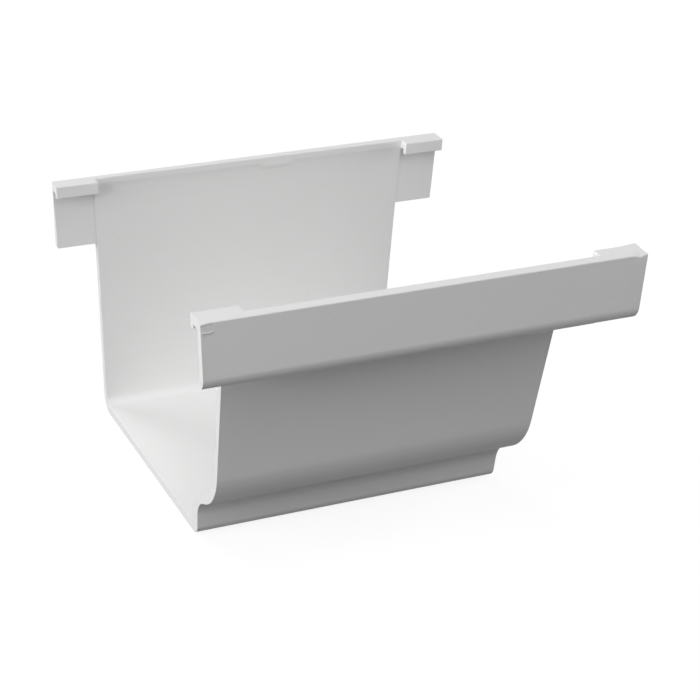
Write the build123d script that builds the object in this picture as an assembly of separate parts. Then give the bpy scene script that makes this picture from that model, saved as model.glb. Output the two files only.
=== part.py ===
from build123d import *
from math import hypot, radians, tan
import os

# Gutter connector for an ogee gutter, one moulded piece.
# X runs along the gutter, +Y is the back towards the fascia, +Z is up.
# The floor's underside is at Z = 0, the box is centred in X and Y.

# overall
DEPTH = 140.6        # front of the band to the back face
BACK_HEIGHT = 88.4   # floor's underside to the back rim
FRONT_RISE = 11.6    # front rim above the back rim
BODY_LENGTH = 113.3  # trough, along the gutter, at the back rim
EAR_REACH = 14.2     # each ear beyond the trough
BODY_DRAFT = 2.45    # degrees each end of the trough leans in towards the floor
EAR_DRAFT = 3.2      # degrees each ear's end leans in downwards
WALL = 2.6

# ogee front, from the floor up; heights from the floor's underside
FLOOR_DEPTH = 91.5   # back face to the foot's lower edge
FOOT_HEIGHT = 12.8   # the cove above the foot
FOOT_LEAN = 1.1      # the foot's top in front of its bottom
BELLY_OUT = 17.7     # the belly in front of the foot
BELLY_HEIGHT = 20.9
BAND_HEIGHT = 21.3   # front rim to the band's lower corner, before rounding
NECK_BACK = 22.6     # the neck, where wall and band meet, behind the band
NECK_DROP = 6.0      # the neck below the band's lower corner

# outside radii of the section
BACK_ROUND = 6.0
FOOT_ROUND = 3.8
COVE_ROUND = 8.9
BELLY_ROUND = 20.9
NECK_ROUND = 6.0
BAND_ROUND = 5.0
EDGE_ROUND = 0.35    # rims, hooks and lips

# ears and the hooks along their tops; a front ear is as high as the band
BACK_EAR = 23.9      # height of a back ear
EAR_RECESS = 0.2     # the back ears' inside behind the trough's inside
FRONT_HOOK = 7.8     # width of a front hook
BACK_HOOK = 7.0      # width of a back hook
HOOK_PLATE = 2.8     # thickness of a hook's top
HOOK_DROP = 4.2      # top of a hook to the bottom of its lip
LIP = 2.0            # thickness of a hook's lip
EAR_CORNER = 0.5     # radius of an ear's free lower corner

# thick rims between the hooks
FRONT_RIM = 3.9
BACK_RIM = 3.4
RIM_HEIGHT = 2.2
RIM_TAPER = 7.0      # the wall thins below the rim over this height

FRONT_TOP = BACK_HEIGHT + FRONT_RISE
BAND_LOW = FRONT_TOP - BAND_HEIGHT
BACK_Y = DEPTH / 2
FRONT_Y = -DEPTH / 2
FOOT_Y = BACK_Y - FLOOR_DEPTH
SPAN = BODY_LENGTH + 4 * EAR_REACH


def rounded(corners):
    """Closed face through corners (y, z, radius), each corner a tangent arc."""
    trims = []
    for i, (y, z, r) in enumerate(corners):
        p = Vector(y, z)
        u = (Vector(*corners[i - 1][:2]) - p).normalized()
        w = (Vector(*corners[(i + 1) % len(corners)][:2]) - p).normalized()
        if r == 0:
            trims.append((p, p, p))
            continue
        half = radians(u.get_angle(w)) / 2
        reach = r / tan(half)
        bisector = (u + w).normalized()
        mid = p + bisector * (hypot(reach, r) - r)
        trims.append((p + u * reach, mid, p + w * reach))
    edges = []
    for i, (start, mid, end) in enumerate(trims):
        if (end - start).length > 0:
            edges.append(ThreePointArc(start, mid, end))
        edges.append(Line(end, trims[(i + 1) % len(trims)][0]))
    return make_face(edges)


def crossing(p, a, q, b):
    """Point where the line p + s a meets the line q + t b."""
    d = q - p
    s = (d.X * b.Y - d.Y * b.X) / (a.X * b.Y - a.Y * b.X)
    return p + a * s


def inside(outer):
    """The open outline moved inwards by the wall, with its radii to match."""
    pts = [Vector(y, z) for y, z, r in outer]
    runs = []
    for p, q in zip(pts, pts[1:]):
        along = (q - p).normalized()
        runs.append((p + Vector(-along.Y, along.X) * WALL, along))
    moved = []
    for i, (y, z, r) in enumerate(outer):
        if i == 0:
            moved.append((runs[0][0].X, z, 0))
        elif i == len(outer) - 1:
            level = Vector(y, z)
            end = crossing(*runs[-1], level, Vector(1, 0))
            moved.append((end.X, z, 0))
        else:
            corner = crossing(*runs[i - 1], *runs[i])
            a, b = runs[i - 1][1], runs[i][1]
            turns_in = a.X * b.Y - a.Y * b.X > 0
            radius = max(r - WALL, 0.6) if turns_in else r + WALL
            moved.append((corner.X, corner.Y, radius))
    return moved


# the section's outer side, from the front rim down and round to the back rim
outer = [
    (FRONT_Y, FRONT_TOP, 0),
    (FRONT_Y, BAND_LOW, BAND_ROUND),
    (FRONT_Y + NECK_BACK, BAND_LOW - NECK_DROP, NECK_ROUND),
    (FOOT_Y - BELLY_OUT, BELLY_HEIGHT, BELLY_ROUND),
    (FOOT_Y - FOOT_LEAN, FOOT_HEIGHT, COVE_ROUND),
    (FOOT_Y, 0, FOOT_ROUND),
    (BACK_Y, 0, BACK_ROUND),
    (BACK_Y, BACK_HEIGHT, 0),
]
inner = inside(outer)


def rim(face_y, level, width, into):
    """Thick rim along a wall's top; into is the sign towards the trough."""
    wall = face_y + into * WALL
    edge = face_y + into * width
    root = level - RIM_HEIGHT - RIM_TAPER
    return rounded([
        (face_y, level, EDGE_ROUND),
        (edge, level, EDGE_ROUND),
        (edge, level - RIM_HEIGHT, EDGE_ROUND),
        (wall, root, 0),
        (face_y, root, 0),
    ])


def hook(face_y, level, width, into):
    """Flat top with a lip turned down, open below to take a gutter's rim."""
    edge = face_y + into * width
    back = edge - into * LIP
    under = level - HOOK_PLATE
    tip = level - HOOK_DROP
    base = face_y + into * WALL / 2
    return rounded([
        (face_y, level, EDGE_ROUND),
        (edge, level, EDGE_ROUND),
        (edge, tip, EDGE_ROUND),
        (back, tip, EDGE_ROUND),
        (back, under, 0),
        (base, under, 0),
        (base, tip, 0),
        (face_y, tip, 0),
    ])


def patch(y0, y1, z0, z1):
    """Upright rectangle of the section."""
    return rounded([(y0, z0, 0), (y1, z0, 0), (y1, z1, 0), (y0, z1, 0)])


def run(face):
    """The section run along the gutter, longer than the part."""
    return extrude(Plane.YZ * face, amount=SPAN / 2, both=True)


def between_ends(length, draft):
    """Block between the two leaning ends; length is at the back rim."""
    low = -WALL
    high = FRONT_TOP + WALL
    lean = tan(radians(draft))
    at_low = length / 2 + lean * (low - BACK_HEIGHT)
    at_high = length / 2 + lean * (high - BACK_HEIGHT)
    side = rounded([
        (-at_low, low, 0),
        (at_low, low, 0),
        (at_high, high, 0),
        (-at_high, high, 0),
    ])
    return extrude(Plane.XZ * side, amount=DEPTH, both=True)


# tops of the plain wall stop under the rims' rounded edges
front_stop = patch(FRONT_Y - WALL, 0, FRONT_TOP - RIM_HEIGHT, FRONT_TOP + WALL)
back_stop = patch(0, BACK_Y + WALL, BACK_HEIGHT - RIM_HEIGHT, FRONT_TOP + WALL)
wall = rounded(outer + inner[::-1]) - front_stop - back_stop

trough = wall
trough += rim(FRONT_Y, FRONT_TOP, FRONT_RIM, 1)
trough += rim(BACK_Y, BACK_HEIGHT, BACK_RIM, -1)

front_ear = wall & patch(FRONT_Y - WALL, FRONT_Y + WALL, BAND_LOW, FRONT_TOP)
front_ear += hook(FRONT_Y, FRONT_TOP, FRONT_HOOK, 1)

back_low = BACK_HEIGHT - BACK_EAR
back_ear = patch(BACK_Y - WALL + EAR_RECESS, BACK_Y, back_low, BACK_HEIGHT - HOOK_PLATE / 2)
back_ear += hook(BACK_Y, BACK_HEIGHT, BACK_HOOK, -1)


def free_corners(ears, low):
    """Lower edges across an ear's wall, at the two free ends."""
    across = ears.edges().filter_by(Axis.Y)
    free = across.filter_by(lambda e: abs(e.center().X) > BODY_LENGTH / 2)
    return free.filter_by(lambda e: abs(e.center().Z - low) < EDGE_ROUND / 2)


middle = between_ends(BODY_LENGTH, BODY_DRAFT)
whole = between_ends(BODY_LENGTH + 2 * EAR_REACH, EAR_DRAFT)
connector = run(trough) & middle
for section, low in ((front_ear, BAND_LOW), (back_ear, back_low)):
    pair = run(section) & whole
    pair = fillet(free_corners(pair, low), EAR_CORNER)
    connector += pair - middle
connector = connector.clean()

os.makedirs("parts", exist_ok=True)
export_step(connector, "parts/connector.step")
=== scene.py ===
import math

import bmesh
import bpy
from mathutils import Matrix, Vector


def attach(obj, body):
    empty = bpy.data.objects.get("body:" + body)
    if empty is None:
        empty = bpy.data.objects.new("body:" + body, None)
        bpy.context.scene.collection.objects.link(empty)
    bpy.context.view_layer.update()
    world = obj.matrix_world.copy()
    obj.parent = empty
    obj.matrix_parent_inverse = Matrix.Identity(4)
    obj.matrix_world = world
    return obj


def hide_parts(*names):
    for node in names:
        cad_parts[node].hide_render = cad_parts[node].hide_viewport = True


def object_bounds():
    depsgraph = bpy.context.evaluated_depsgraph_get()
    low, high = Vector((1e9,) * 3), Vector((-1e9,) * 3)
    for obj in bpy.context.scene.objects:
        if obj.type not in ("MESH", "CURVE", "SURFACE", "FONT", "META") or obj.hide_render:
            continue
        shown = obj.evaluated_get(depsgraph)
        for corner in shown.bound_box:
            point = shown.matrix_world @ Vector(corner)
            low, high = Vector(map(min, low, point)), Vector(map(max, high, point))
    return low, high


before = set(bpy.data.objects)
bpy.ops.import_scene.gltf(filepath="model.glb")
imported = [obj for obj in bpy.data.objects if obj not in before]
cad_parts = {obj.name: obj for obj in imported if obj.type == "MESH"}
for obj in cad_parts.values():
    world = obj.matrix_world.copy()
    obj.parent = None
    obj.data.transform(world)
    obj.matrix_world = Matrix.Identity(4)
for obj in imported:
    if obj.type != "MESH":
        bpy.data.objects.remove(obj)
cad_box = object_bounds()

# A gutter connector of white vinyl, one moulded piece, with the marks of handling, and painted
# highlights and shade at these marks.
# X runs along the gutter and the ogee front faces -Y. Marks and knocks are placed in mm.

MM = 0.001

# the moulding's outer faces and rims
FRONT_Y = cad_box[0][1] / MM
BACK_Y = cad_box[1][1] / MM
FRONT_TOP = cad_box[1][2] / MM
BACK_TOP = 88.4
END_LEAN = math.tan(math.radians(2.45))

# camera: where it stands, which way it looks, and the photograph's frame
CAMERA_AT = Vector((-253.44, -543.53, 345.92)) * MM
AZIMUTH = math.radians(-25.676)
ELEVATION = math.radians(26.479)
ROLL = math.radians(2.629)
FOCAL_PX = 2064.2
FRAME_PX = 700
SENSOR = 36.0
CLIP_START = 0.01

# edges of the moulding: those sharper than SHARP are rounded
EDGE_RADIUS = 0.20 * MM
EDGE_STEPS = 2
SHARP = math.radians(30)
FLAT = math.radians(0.3)
SAME_POINT = 0.001 * MM
ON_CUT = 0.002 * MM

# white vinyl: its plain tone and how far the tone wanders
TONE = 0.855
BLUE_SHARE = 0.996
CLOUDS = 0.030
FLOW_LINES = 0.014
HAIRLINES = 0.025
SPECKS = 0.050

# patterns in the vinyl: scale, or squeeze along the gutter and scale, and where a pattern shows
CLOUD_SCALE = 22.0
GRAIN_SCALE = 1400.0
FLOW_SQUEEZE = 0.03
FLOW_SCALE = 0.55
HAIR_SQUEEZE = 0.10
HAIR_SCALE = 1.3
HAIR_SHOWS = (0.70, 0.76)
SPECK_SCALE = 260.0
SPECK_CHOSEN = (0.80, 0.82)
SPECK_EDGE = (0.05, 0.13)

# satin finish, and heights of the surface's grain in mm
ROUGH = 0.48
ROUGH_CLOUDS = 0.14
ROUGH_FLOW = 0.06
ROUGH_BURR = 0.15
VINYL_IOR = 1.53
GRAIN_HEIGHT = 0.004
FLOW_HEIGHT = 0.006
HAIR_HEIGHT = 0.004
BURR_HEIGHT = 0.18

# painted highlights and shade at the marks: how much lighter or darker than the plain tone each is
BURR_PAINTED_HIGHLIGHT = 0.14
BURR_SHADE_DARKER = 0.10
ROLLED_EDGE_SHADE_DARKER = 0.22
RIM_SHADE_DARKER = 0.035
SCRAPE_PAINTED_HIGHLIGHT = 0.065
SCRAPE_PAINTED_SHADE = 0.060
CREASE_SHADE_DARKER = 0.10

# depth under the outer faces to which their marks fade, and how far in the back's marks reach
SKIN = (0.1, 0.6)
BACK_REACH = (5.0, 6.0)

# scraped burr near the band's left end: strokes as fade in, fade out, pivot, height and slope
BURR_WIDTH = 0.28
BURR_STROKES = (
    ((-71.0, -70.5), (-69.5, -69.0), -70.0, 96.80, -0.17),
    ((-69.3, -68.8), (-67.9, -67.3), -69.1, 96.75, 0.22),
)
# painted shade under the burr, as place along the band, length, height and width
BURR_SHADE_SPOTS = ((-70.3, 0.8, 96.1, 0.45), (-68.5, 0.6, 96.3, 0.35))

# painted shade under the edge of the drooped front left corner
CORNER_ROLL = (-71.0, -69.3)
CORNER_ROLL_DROP = 0.35
CORNER_SHADE_END = (-68.4, -67.4)
CORNER_SHADE_DROP = 0.45
CORNER_SHADE_WIDTH = 0.25

# patchy painted shade along the lower edge of the back rim
RIM_SHADE_DROP = 2.6
RIM_SHADE_WIDTH = 1.0
RIM_SHADE_LEAST = 0.4
RIM_SHADE_SQUEEZE = 0.2
RIM_SHADE_SCALE = 0.5

# a scrape along the back wall below the rim, painted lighter as its highlight, with a line of
# painted shade under it
SCRAPE_IN = (2.0, 5.0)
SCRAPE_OUT = (12.5, 16.0)
SCRAPE_DROP = 2.5
SCRAPE_WIDTH = 0.7
SCRAPE_LINE_DROP = 4.0
SCRAPE_LINE_WIDTH = 0.5

# painted shade in the crease where the back left ear meets the trough; CREASE_X is at the back rim
CREASE_X = -56.85
CREASE_IN = (64.0, 65.5)
CREASE_OUT = (83.5, 85.0)
CREASE_WIDTH = 0.28

# knocked front corners: their bounds, and cuts that let the mesh bend there
CORNER_X = 60.0
CORNER_DEPTH = 9.0
CORNER_HEIGHT = 6.0
LEFT_CUTS = (-67.4, -68.2, -69.0, -69.7, -70.4, -71.0)
RIGHT_CUTS = (66.2, 67.4, 68.2, 68.9, 69.5, 70.2)
CUT_BEHIND = 2.4
CUT_BELOW = 2.2

# the knocks: a drooped corner, a nick, a lifted hook corner and a chip
AT_EDGE = 0.5
DROOP_START = -67.8
DROOP_LENGTH = 3.6
DROOP_DEPTH = 0.32
NICK_X = 68.9
NICK_LENGTH = 1.8
NICK_DEPTH = 0.75
NICK_BACK = 0.25
LIFT_START = 66.0
LIFT_LENGTH = 4.0
LIFT_DEPTH = (6.0, 9.0)
LIFT_HEIGHT = 0.40
CHIP_START = -69.0
CHIP = Vector((0.5, -0.3, -0.35)) * MM

# studio: the floor's bounce on the object, its look to the camera, and the sky, white to the camera
FLOOR_SIZE = 6.0
FLOOR_LEVEL = -0.2 * MM
FLOOR_BOUNCE = 0.08
FLOOR_GLOW = 0.86
FLOOR_SHADOWED = 0.20
SKY = 0.14
BACKDROP = 1.0

# soft round lamps as name, place, size and watts, all aimed at LAMP_TARGET
LAMP_TARGET = Vector((0, 0, 0.05))
LAMPS = (
    ("left", (-1.2, 0.0, 0.40), 0.9, 6.9),
    ("left_front", (-1.2, -0.6, 0.50), 0.9, 6.0),
    ("front_high", (-0.2, -0.9, 1.3), 1.6, 8.0),
    ("back", (-0.5, 1.2, 0.9), 0.9, 7.6),
    ("right", (1.3, 0.0, 0.30), 0.9, 12.0),
)


class Wire:
    """A socket's value in a material; arithmetic on it adds Math nodes."""

    def __init__(self, maker, socket):
        self.maker = maker
        self.socket = socket

    def _math(self, operation, a, b):
        node = self.maker.add("ShaderNodeMath", {"operation": operation}, {0: a, 1: b})
        return node.out()

    def __add__(self, other):
        return self._math("ADD", self, other)

    __radd__ = __add__

    def __sub__(self, other):
        return self._math("SUBTRACT", self, other)

    def __rsub__(self, other):
        return self._math("SUBTRACT", other, self)

    def __mul__(self, other):
        return self._math("MULTIPLY", self, other)

    __rmul__ = __mul__

    def __truediv__(self, other):
        return self._math("DIVIDE", self, other)

    def __rtruediv__(self, other):
        return self._math("DIVIDE", other, self)

    def __rpow__(self, other):
        return self._math("POWER", other, self)

    def over(self, low, high):
        """0 at low, 1 at high, eased between and held beyond."""
        return self.maker.add(
            "ShaderNodeMapRange",
            {"interpolation_type": "SMOOTHSTEP"},
            {"Value": self, "From Min": low, "From Max": high},
        ).out("Result")

    def between(self, fade_in, fade_out):
        """0, easing to 1 over the stretch fade_in and back to 0 over the stretch fade_out."""
        return self.over(*fade_in) * (1.0 - self.over(*fade_out))

    def hump(self, centre, width):
        """1 where the value is centre, falling away over width."""
        away = (self - centre) / width
        return math.e ** (away * away * -1.0)


class Added:
    """A node just added, whose outputs are read as wires."""

    def __init__(self, maker, node):
        self.maker = maker
        self.node = node

    def out(self, name=0):
        return Wire(self.maker, self.node.outputs[name])


class MaterialMaker:
    """One node tree; add() makes a node from its type, settings and socket values."""

    def __init__(self, tree):
        self.tree = tree
        tree.nodes.clear()

    def add(self, kind, settings=None, sockets=None):
        node = self.tree.nodes.new(kind)
        for name, value in (settings or {}).items():
            setattr(node, name, value)
        for name, value in (sockets or {}).items():
            if isinstance(value, Wire):
                self.tree.links.new(value.socket, node.inputs[name])
            else:
                node.inputs[name].default_value = value
        return Added(self, node)


class Surface:
    """Places on the moulding: x, y and z in mm, and patterns laid over it."""

    def __init__(self, make):
        self.make = make
        self.place = make.add("ShaderNodeTexCoord").out("Object")
        apart = make.add("ShaderNodeSeparateXYZ", {}, {0: self.place})
        self.x, self.y, self.z = (apart.out(axis) / MM for axis in "XYZ")

    def noise(self, place, scale, detail):
        return self.make.add(
            "ShaderNodeTexNoise", {}, {"Vector": place, "Scale": scale, "Detail": detail}
        ).out("Fac")

    def squeezed(self, share):
        """Places squeezed along the gutter, on which a pattern runs out into streaks."""
        return self.make.add(
            "ShaderNodeCombineXYZ", {}, {0: self.x * share, 1: self.y, 2: self.z}
        ).out()

    def on_front(self):
        """1 on the front band's face."""
        near, far = SKIN
        return 1.0 - self.y.over(FRONT_Y + near, FRONT_Y + far)

    def on_back(self):
        """1 on the inside of the back wall and on the rim above it."""
        near, far = SKIN
        reach, end = BACK_REACH
        return self.y.between((BACK_Y - end, BACK_Y - reach), (BACK_Y - far, BACK_Y - near))


def new_material(name):
    material = bpy.data.materials.new(name)
    material.use_nodes = True
    return material, MaterialMaker(material.node_tree)


def grey(share):
    return (share, share, share, 1)


def specks(make, at):
    """Small dark spots, in a few cells of a scattered pattern."""
    cells = make.add("ShaderNodeTexVoronoi", {}, {"Vector": at.place, "Scale": SPECK_SCALE})
    pick = make.add("ShaderNodeSeparateColor", {}, {0: cells.out("Color")}).out("Red")
    return pick.over(*SPECK_CHOSEN) * (1.0 - cells.out("Distance").over(*SPECK_EDGE))


def burr_on_band(at):
    """Two strokes near the band's left end: the first falls a little, the second rises."""
    strokes = 0.0
    for fade_in, fade_out, pivot, height, slope in BURR_STROKES:
        line = at.z - (at.x - pivot) * slope
        strokes = strokes + at.x.between(fade_in, fade_out) * line.hump(height, BURR_WIDTH)
    return at.on_front() * strokes


# painted shade under the burr, in spots on the band
def shade_under_burr(at):
    spots = 0.0
    for along, length, height, width in BURR_SHADE_SPOTS:
        spots = spots + at.x.hump(along, length) * at.z.hump(height, width)
    return at.on_front() * spots


# a line of painted shade under the drooped corner's rolled edge
def shade_under_rolled_edge(at):
    rolled = (1.0 - at.x.over(*CORNER_ROLL)) * CORNER_ROLL_DROP
    line = (at.z + rolled).hump(FRONT_TOP - CORNER_SHADE_DROP, CORNER_SHADE_WIDTH)
    return at.on_front() * (1.0 - at.x.over(*CORNER_SHADE_END)) * line


# patchy painted shade under the back rim
def shade_under_rim(at):
    patchy = RIM_SHADE_LEAST + at.noise(at.squeezed(RIM_SHADE_SQUEEZE), RIM_SHADE_SCALE, 2.0)
    return at.on_back() * at.z.hump(BACK_TOP - RIM_SHADE_DROP, RIM_SHADE_WIDTH) * patchy


def scrape_on_wall(at):
    """Where the scrape is painted as a highlight, and the line of painted shade under it."""
    length = at.on_back() * at.x.between(SCRAPE_IN, SCRAPE_OUT)
    scrape = length * at.z.hump(BACK_TOP - SCRAPE_DROP, SCRAPE_WIDTH)
    line = length * at.z.hump(BACK_TOP - SCRAPE_LINE_DROP, SCRAPE_LINE_WIDTH)
    return scrape, line


# painted shade in the crease between the back left ear and the trough
def shade_in_crease(at):
    across = at.x - CREASE_X + (at.z - BACK_TOP) * END_LEAN
    return at.on_back() * across.hump(0.0, CREASE_WIDTH) * at.z.between(CREASE_IN, CREASE_OUT)


def white_vinyl():
    """Satin white vinyl, faintly clouded and streaked along the gutter, with its marks and painted
    highlights and shade.
    """
    material, make = new_material("white_vinyl")
    at = Surface(make)
    clouds = at.noise(at.place, CLOUD_SCALE, 3.0)
    grain = at.noise(at.place, GRAIN_SCALE, 2.0)
    flow = at.noise(at.squeezed(FLOW_SQUEEZE), FLOW_SCALE, 3.0)
    hair = at.noise(at.squeezed(HAIR_SQUEEZE), HAIR_SCALE, 1.0).over(*HAIR_SHOWS)
    burr = burr_on_band(at)
    scrape, scrape_shade = scrape_on_wall(at)
    tone = (
        TONE
        + (clouds - 0.5) * CLOUDS
        + (flow - 0.5) * FLOW_LINES
        + hair * HAIRLINES
        - specks(make, at) * SPECKS
        # painted highlight along the burr's ridge, added to its bump
        + burr * BURR_PAINTED_HIGHLIGHT
        # painted shade under the burr
        - shade_under_burr(at) * BURR_SHADE_DARKER
        # painted shade under the drooped corner's edge
        - shade_under_rolled_edge(at) * ROLLED_EDGE_SHADE_DARKER
        # patchy painted shade under the back rim, left out where the scrape is
        - shade_under_rim(at) * RIM_SHADE_DARKER * (1.0 - scrape)
        # painted highlight along the scrape
        + scrape * SCRAPE_PAINTED_HIGHLIGHT
        # painted shade under the scrape
        - scrape_shade * SCRAPE_PAINTED_SHADE
        # painted shade in the crease at the back left ear
        - shade_in_crease(at) * CREASE_SHADE_DARKER
    )
    colour = make.add("ShaderNodeCombineColor", {}, {0: tone, 1: tone, 2: tone * BLUE_SHARE}).out()
    height = grain * GRAIN_HEIGHT + flow * FLOW_HEIGHT + hair * HAIR_HEIGHT + burr * BURR_HEIGHT
    bump = make.add("ShaderNodeBump", {}, {"Strength": 1.0, "Distance": MM, "Height": height}).out()
    rough = ROUGH + clouds * ROUGH_CLOUDS + flow * ROUGH_FLOW + burr * ROUGH_BURR
    plastic = make.add(
        "ShaderNodeBsdfPrincipled",
        {},
        {"Base Color": colour, "Roughness": rough, "Normal": bump, "IOR": VINYL_IOR},
    ).out()
    make.add("ShaderNodeOutputMaterial", {}, {"Surface": plastic})
    return material


def at_front_corner(point, side):
    """Whether a point lies at the front corner on that side, -1 for left and 1 for right."""
    outward = side * point.x > CORNER_X
    return outward and point.y < FRONT_Y + CORNER_DEPTH and point.z > FRONT_TOP - CORNER_HEIGHT


def cut_front_corner(mesh, side, along):
    """Cut the faces of one front corner across the gutter, behind the face and below the top."""
    planes = [(0, x) for x in along]
    planes += [(1, FRONT_Y + CUT_BEHIND), (2, FRONT_TOP - CUT_BELOW)]
    for axis, at in planes:
        near = [f for f in mesh.faces if any(at_front_corner(v.co / MM, side) for v in f.verts)]
        edges = {e for f in near for e in f.edges}
        corners = {v for f in near for v in f.verts}
        normal = Vector((0, 0, 0))
        normal[axis] = 1.0
        bmesh.ops.bisect_plane(
            mesh,
            geom=near + list(edges) + list(corners),
            dist=ON_CUT,
            plane_co=normal * at * MM,
            plane_no=normal,
        )


def knock_corners(mesh):
    """Droop the front left corner, nick and lift the front right one, chip the back left one."""
    cut_front_corner(mesh, -1, LEFT_CUTS)
    cut_front_corner(mesh, 1, RIGHT_CUTS)
    lift_near, lift_far = LIFT_DEPTH
    for v in mesh.verts:
        p = v.co / MM
        on_front_top = p.z > FRONT_TOP - AT_EDGE
        on_hook_edge = FRONT_Y + lift_near < p.y < FRONT_Y + lift_far
        if on_front_top and p.y < FRONT_Y + AT_EDGE:
            droop = min(max((DROOP_START - p.x) / DROOP_LENGTH, 0.0), 1.0)
            nick = max(1.0 - abs(p.x - NICK_X) / NICK_LENGTH, 0.0)
            v.co.z -= (DROOP_DEPTH * droop ** 2 + NICK_DEPTH * nick) * MM
            v.co.y += NICK_BACK * nick * MM
        elif on_front_top and on_hook_edge and p.x > LIFT_START:
            v.co.z += LIFT_HEIGHT * min((p.x - LIFT_START) / LIFT_LENGTH, 1.0) * MM
        if p.x < CHIP_START and p.y > BACK_Y - AT_EDGE and p.z > BACK_TOP - AT_EDGE:
            v.co += CHIP


def connector_piece():
    """The moulding itself: the solid's mesh, merged, knocked, and its sharp edges softened."""
    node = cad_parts["connector"]
    mesh = node.data.copy()
    soft = bmesh.new()
    soft.from_mesh(mesh)
    bmesh.ops.remove_doubles(soft, verts=soft.verts, dist=SAME_POINT)
    bmesh.ops.dissolve_limit(soft, angle_limit=FLAT, verts=soft.verts, edges=soft.edges)
    knock_corners(soft)
    soft.to_mesh(mesh)
    soft.free()
    piece = bpy.data.objects.new("connector_moulding", mesh)
    bpy.context.scene.collection.objects.link(piece)
    bevel = piece.modifiers.new("edges", "BEVEL")
    bevel.width = EDGE_RADIUS
    bevel.segments = EDGE_STEPS
    bevel.limit_method = "ANGLE"
    bevel.angle_limit = SHARP
    bevel.use_clamp_overlap = True
    smooth = piece.modifiers.new("flats", "WEIGHTED_NORMAL")
    smooth.keep_sharp = True
    mesh.shade_smooth()
    finished = bpy.data.meshes.new_from_object(
        piece.evaluated_get(bpy.context.evaluated_depsgraph_get())
    )
    piece.modifiers.clear()
    piece.data = finished
    finished.materials.clear()
    finished.materials.append(white_vinyl())
    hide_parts("connector")
    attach(piece, "root")


def camera():
    ahead = Vector((
        -math.sin(AZIMUTH) * math.cos(ELEVATION),
        math.cos(AZIMUTH) * math.cos(ELEVATION),
        -math.sin(ELEVATION),
    ))
    lens = bpy.data.cameras.new("camera")
    lens.sensor_width = SENSOR
    lens.lens = FOCAL_PX * SENSOR / FRAME_PX
    lens.clip_start = CLIP_START
    eye = bpy.data.objects.new("camera", lens)
    level = ahead.to_track_quat("-Z", "Y").to_matrix()
    eye.matrix_world = (
        Matrix.Translation(CAMERA_AT) @ level.to_4x4() @ Matrix.Rotation(ROLL, 4, "Z")
    )
    bpy.context.scene.collection.objects.link(eye)
    bpy.context.scene.camera = eye


def lamp(name, at, size, watts):
    light = bpy.data.lights.new(name, "AREA")
    light.shape = "DISK"
    light.size = size
    light.energy = watts
    holder = bpy.data.objects.new(name, light)
    holder.location = at
    holder.rotation_euler = (LAMP_TARGET - Vector(at)).to_track_quat("-Z", "Y").to_euler()
    bpy.context.scene.collection.objects.link(holder)


def seen_rays(make):
    """1 for rays that show a thing itself, and 0 for those that only carry its light."""
    path = make.add("ShaderNodeLightPath")
    return path.out("Is Camera Ray") + path.out("Is Glossy Ray") + path.out("Is Transmission Ray")


def pale_floor():
    """White to the camera apart from the shadow, and dim to the object above it."""
    material, make = new_material("pale_floor")
    bounce = make.add("ShaderNodeBsdfDiffuse", {}, {"Color": grey(FLOOR_BOUNCE)}).out()
    glow = make.add("ShaderNodeEmission", {}, {"Color": grey(1), "Strength": FLOOR_GLOW}).out()
    shadowed = make.add("ShaderNodeBsdfDiffuse", {}, {"Color": grey(FLOOR_SHADOWED)}).out()
    white = make.add("ShaderNodeAddShader", {}, {0: glow, 1: shadowed}).out()
    both = make.add("ShaderNodeMixShader", {}, {0: seen_rays(make), 1: bounce, 2: white}).out()
    make.add("ShaderNodeOutputMaterial", {}, {"Surface": both})
    bpy.ops.mesh.primitive_plane_add(size=FLOOR_SIZE, location=(0, 0, FLOOR_LEVEL))
    floor = bpy.context.object
    floor.name = "floor"
    floor.data.materials.append(material)


def pale_sky():
    """White to the camera, and a soft fill for the object."""
    world = bpy.data.worlds.new("studio")
    bpy.context.scene.world = world
    world.use_nodes = True
    sky = MaterialMaker(world.node_tree)
    fill = sky.add("ShaderNodeBackground", {}, {"Color": grey(1), "Strength": SKY}).out()
    white = sky.add("ShaderNodeBackground", {}, {"Color": grey(1), "Strength": BACKDROP}).out()
    both = sky.add("ShaderNodeMixShader", {}, {0: seen_rays(sky), 1: fill, 2: white}).out()
    sky.add("ShaderNodeOutputWorld", {}, {"Surface": both})


def studio():
    pale_floor()
    pale_sky()
    for name, at, size, watts in LAMPS:
        lamp(name, at, size, watts)


connector_piece()
camera()
studio()
bpy.context.scene.view_settings.view_transform = "Standard"
